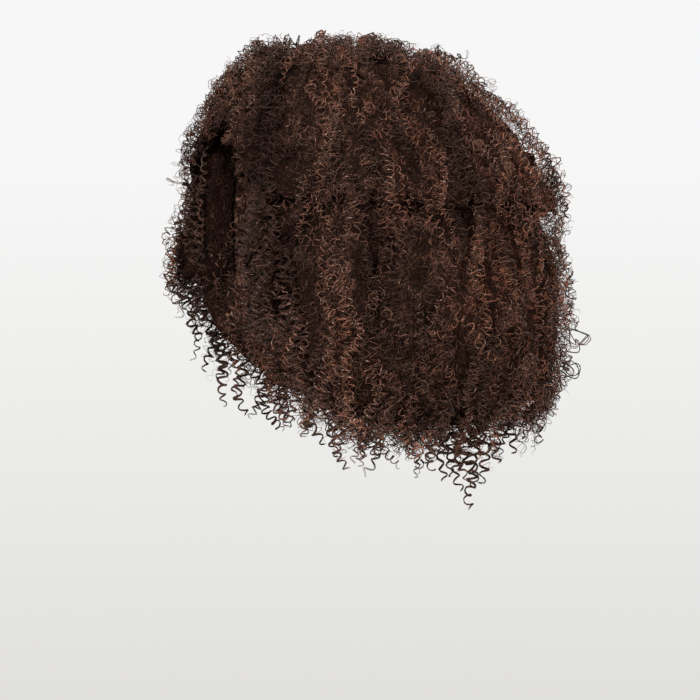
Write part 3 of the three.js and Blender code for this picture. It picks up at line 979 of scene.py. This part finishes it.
# Coils: the wide loops that stand free of the outline, each with its bearing, its top and its tip
coils = {
    "places": [
        (160, -0.060, -0.096), (158, -0.082, -0.112), (158, -0.175, -0.210), (161, -0.190, -0.222),
        (155, -0.205, -0.232), (160, -0.226, -0.258), (154, -0.242, -0.276), (149, -0.262, -0.298),
        (146, -0.268, -0.306), (170, -0.255, -0.300), (152, -0.090, -0.118), (164, -0.238, -0.266),
        (151, -0.214, -0.246), (318, -0.140, -0.190), (322, -0.150, -0.196), (315, -0.160, -0.205),
        (320, -0.105, -0.150), (326, -0.060, -0.100), (200, -0.090, -0.130), (215, -0.200, -0.240),
        (235, -0.160, -0.200), (250, -0.245, -0.290), (268, -0.110, -0.150), (110, -0.255, -0.300),
        (90, -0.250, -0.290),
    ],
    "depth": (-0.05, 0.0),
    "swing": (-0.004, 0.006),
    "wander": 1.6,
    "strands": 2,
    "apart": 0.25,
    "radius": (0.0042, 0.0066),
    "pitch": (0.0085, 0.0125),
    "wire": (0.00030, 0.00042),
    "points": 7.0,
}


def coilCurls(rng, section, spec):
    made = []
    for bearing, top, tip in spec["places"]:
        tier = "upper" if top > -float(tierDepth(bearing)) else "lower"
        if section["from"] <= bearing < section["to"] and tier == section["tier"]:
            depth, swing = rng.uniform(*spec["depth"]), rng.uniform(*spec["swing"])
            path = hangingLine(rng, bearing, top, tip, depth, swing, spec["wander"])
            made += bundle(rng, path, spec, tone=rng.uniform(0, 0.5), close=0.2, loose=0.6, flat=1.0)
    return made


def ringletCurls(rng, section, spec):
    made = []
    for bearing, drop, depth in spec["places"]:
        if section["from"] <= bearing < section["to"]:
            top = spec["root"] - float(hemDepth(bearing))
            path = hangingLine(rng, bearing, top, spec["trim"] - drop, depth, 0, spec["wander"])
            made += bundle(rng, path, spec, tone=rng.uniform(0, 0.4), close=0.35, loose=0.05, flat=1.0)
    return made


# Flyaways: thin loose hairs that stand out of the curls all over
flyaways = {
    "perSquareMetre": 4220,
    "length": (0.014, 0.036),
    "radius": (0.0017, 0.0042),
    "pitch": (0.0048, 0.0100),
    "wire": (0.00015, 0.00027),
    "points": 5.7,
    "loose": (0.2, 0.55),
    "lean": 0.9,
    "under": -0.005,
    "over": (-0.003, 0.0065),
    "lift": (-0.002, 0.003),
    "pastHem": 0.03,
    "shortest": 0.010,
}


def flyawayHairs(rng, section, spec):
    made = []
    for bearing, along in pickedPlaces(rng, section, spec):
        bearing = bearing + rng.uniform(-0.75, 0.75)
        length = rng.uniform(*spec["length"])
        start = max(0.001, along + rng.uniform(-0.002, 0.002))
        length = min(length, onEdge(bearing, "hems") + spec["pastHem"] - start)
        if length < spec["shortest"]:
            continue
        high = rng.uniform(*spec["over"])
        heading = rng.normal(0, spec["lean"])
        bearing, shade = gathered(bearing, start + 0.5 * length)
        path = lyingLine(bearing, start, length, heading, spec["under"], high, rng.uniform(*spec["lift"]))
        tone = rng.uniform(0, 1.15) * shade
        hair = randomCurl(rng, spec, loose=rng.uniform(*spec["loose"]), tone=tone)
        made.append(curled(rng, path, hair))
    return made


# Strays: corkscrews of a few strands that leave the surface, and show along the outline
strays = {
    "perSquareMetre": 430,
    "strands": 2,
    "apart": 0.4,
    "length": (0.025, 0.055),
    "radius": (0.0026, 0.0044),
    "pitch": (0.0056, 0.0088),
    "wire": (0.00034, 0.00054),
    "points": 6.2,
    "lean": 0.5,
    "under": -0.004,
    "over": 0.004,
    "lift": (0.0, 0.009),
    "pastHem": 0.02,
    "shortest": 0.012,
}


def strayCurls(rng, section, spec):
    made = []
    for bearing, along in pickedPlaces(rng, section, spec):
        length = min(rng.uniform(*spec["length"]), onEdge(bearing, "hems") + spec["pastHem"] - along)
        if length < spec["shortest"]:
            continue
        bearing, shade = gathered(bearing + rng.uniform(-0.7, 0.7), along + 0.5 * length)
        heading, lift = rng.normal(0, spec["lean"]), rng.uniform(*spec["lift"])
        path = lyingLine(bearing, along, length, heading, spec["under"], spec["over"], lift)
        made += bundle(rng, path, spec, tone=rng.uniform(0, 0.9) * shade, close=0.1)
    return made


total = 0
for number, (node, section) in enumerate(sections.items()):
    rng = np.random.default_rng(100 + number)
    strands = surfaceCurls(rng, section, curls) + strayCurls(rng, section, strays) + coilCurls(rng, section, coils)
    if section["tier"] == "upper":
        strands += seamCurls(rng, node, curls)
    else:
        strands += innerCurls(rng, section, inner)
        strands += hemCurls(rng, section, hem)
        strands += ringletCurls(rng, section, ringlets)
    if node.endswith("front_lock"):
        strands += faceCurls(rng, node.startswith("left"), faceEdge)
    mesh, count = tubeMesh(node.replace("_hair", "") + "_curls", strands)
    addPiece(mesh.name, mesh, curlMaterial)
    hairs = flyawayHairs(rng, section, flyaways)
    thin, thinCount = tubeMesh(node.replace("_hair", "") + "_flyaways", hairs)
    addPiece(thin.name, thin, flyawayMaterial)
    total += count + thinCount
    print("curls:", node, count, "triangles, flyaways:", thinCount)
print("curls made:", total, "triangles")

# Cap: the sewn net that carries the hair, its solid rounded off
cap = {"levels": 2}


def makeCap():
    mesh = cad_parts["wig_cap"].data.copy()
    mesh.materials.clear()
    work = bmesh.new()
    work.from_mesh(mesh)
    bmesh.ops.remove_doubles(work, verts=work.verts, dist=1e-6)
    bmesh.ops.join_triangles(work, faces=work.faces, angle_face_threshold=0.9, angle_shape_threshold=1.2)
    work.to_mesh(mesh)
    work.free()
    piece = addPiece("cap_net", mesh, capMaterial)
    bpy.context.view_layer.objects.active = piece
    piece.select_set(True)
    rounding = piece.modifiers.new("rounding", "SUBSURF")
    rounding.levels = rounding.render_levels = cap["levels"]
    bpy.ops.object.modifier_apply(modifier="rounding")
    piece.data.polygons.foreach_set("use_smooth", np.ones(len(piece.data.polygons), bool))
    piece.select_set(False)
    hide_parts("wig_cap")


makeCap()
print("cap made")

# Studio: a pale floor that fades into pale surroundings, and three soft lights
studio = {
    "floorHeight": -0.80,
    "floorSize": 8.0,
    "floorFade": (0.5, 1.5),
    "pale": (0.86, 0.86, 0.85, 1),
    "above": (0.93, 0.93, 0.93, 1),
    "below": (0.735, 0.727, 0.70, 1),
}


def makeStudio():
    bpy.ops.mesh.primitive_plane_add(size=studio["floorSize"], location=(0, 0, studio["floorHeight"]))
    floor = bpy.context.object
    floor.name = "studio_floor"
    material, tree, shader = newMaterial("pale_floor", studio["pale"], 0.9, 0.1)
    where = addNode(tree, "ShaderNodeTexCoord")
    away = addNode(tree, "ShaderNodeVectorMath", {0: where.outputs["Object"]}, operation="LENGTH")
    near, far = studio["floorFade"]
    tree.links.new(remap(tree, away.outputs["Value"], near, far, 1.0, 0.0), shader.inputs["Alpha"])
    floor.data.materials.append(material)
    floor.select_set(False)
    world = bpy.data.worlds.new("studio")
    world.use_nodes = True
    sky = world.node_tree
    where = addNode(sky, "ShaderNodeTexCoord").outputs["Generated"]
    height = addNode(sky, "ShaderNodeSeparateXYZ", {0: where}).outputs["Z"]
    colour = mixColours(sky, remap(sky, height, -0.2, 0.06), studio["below"], studio["above"])
    sky.links.new(colour, sky.nodes["Background"].inputs["Color"])
    bpy.context.scene.world = world
    bpy.context.scene.view_settings.view_transform = "Standard"


# Lights: where each stands as seen from the hair, how far off, its width and its power
lights = {
    "key": {"towards": (0.8, -0.6, 0.6), "distance": 2.2, "size": 0.5, "power": 66},
    "fill": {"towards": (1.0, 0.6, 0.1), "distance": 2.6, "size": 1.6, "power": 30},
    "back": {"towards": (-0.7, 0.8, 0.5), "distance": 2.4, "size": 1.2, "power": 20},
}


def addLight(name, towards, distance, size, power):
    data = bpy.data.lights.new(name, "AREA")
    data.shape = "DISK"
    data.size = size
    data.energy = power
    light = bpy.data.objects.new(name, data)
    bpy.context.scene.collection.objects.link(light)
    aim = Vector((0, 0.03, -0.15))
    light.location = aim + Vector(towards).normalized() * distance
    light.rotation_mode = "QUATERNION"
    light.rotation_quaternion = (aim - light.location).to_track_quat("-Z", "Y")


makeStudio()
for name, light in lights.items():
    addLight(name, **light)
print("studio made")

camera = {"azimuth": 70, "elevation": 1.5, "distance": 1.8, "lens": 116.0, "aim": (0.0074, 0.0203, -0.230)}


def makeCamera():
    data = bpy.data.cameras.new("camera")
    data.lens = camera["lens"]
    data.sensor_width = 36
    placed = bpy.data.objects.new("camera", data)
    bpy.context.scene.collection.objects.link(placed)
    turn, rise = np.radians(camera["azimuth"]), np.radians(camera["elevation"])
    back = Vector((np.sin(turn) * np.cos(rise), -np.cos(turn) * np.cos(rise), np.sin(rise)))
    placed.location = Vector(camera["aim"]) + back * camera["distance"]
    placed.rotation_mode = "QUATERNION"
    placed.rotation_quaternion = (-back).to_track_quat("-Z", "Y")
    bpy.context.scene.camera = placed


makeCamera()

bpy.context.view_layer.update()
shown = [thing for thing in bpy.context.scene.objects if thing.type == "MESH" and not thing.hide_render]
print("triangles:", sum(len(thing.data.loops) - 2 * len(thing.data.polygons) for thing in shown))
